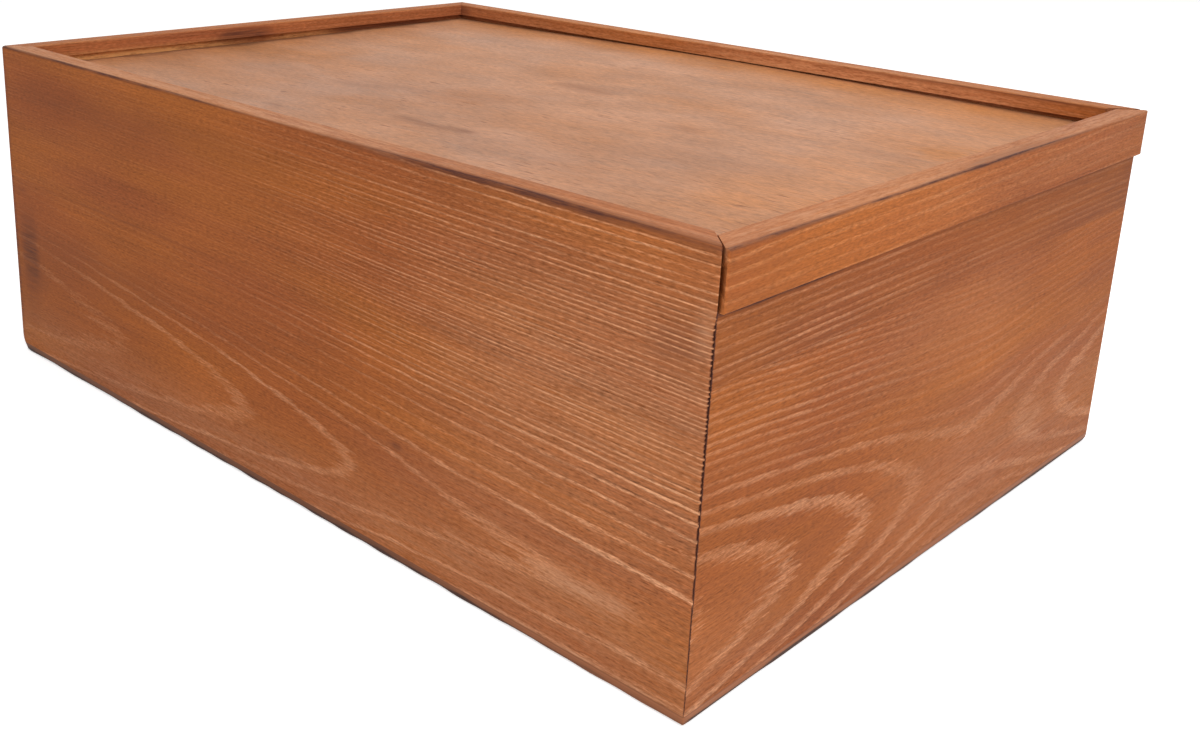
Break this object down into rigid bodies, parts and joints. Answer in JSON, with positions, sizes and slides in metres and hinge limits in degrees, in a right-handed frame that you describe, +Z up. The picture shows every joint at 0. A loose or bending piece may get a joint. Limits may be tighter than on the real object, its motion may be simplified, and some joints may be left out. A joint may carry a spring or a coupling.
{
  "type": "sliding lid keepsake box",
  "caption": "Low stained-pine keepsake box with mitred corners, whose plywood lid slides out along grooves on a mitred end batten.",
  "frame": {"origin": "centre of the underside of the box's body", "axes": "+X along the length, the way the lid slides out; +Y across the width; +Z up"},
  "size_m": [0.2715, 0.198, 0.1],
  "materials": {
    "wall_pine": "brown stain on brushed pine with raised grain, matt",
    "batten_pine": "orange-brown stain on fine pine, matt",
    "lid_plywood": "thin tan stain on plywood, matt",
    "bottom_plywood": "brown stain on plywood, matt",
    "brad_steel": "bright drawn wire, a little dull"
  },
  "bodies": {
    "box": {"front_wall": "wall_pine", "rear_wall": "wall_pine", "closed_end_wall": "wall_pine", "open_end_wall": "wall_pine", "bottom_board": "bottom_plywood", "bottom_brads": "brad_steel"},
    "lid": {"lid_panel": "lid_plywood", "lid_batten": "batten_pine"}
  },
  "joints": [
    {"name": "lid_slide", "type": "slide", "parent": "box", "child": "lid", "axis": [1, 0, 0], "range_m": [0, 0.27]}
  ]
}
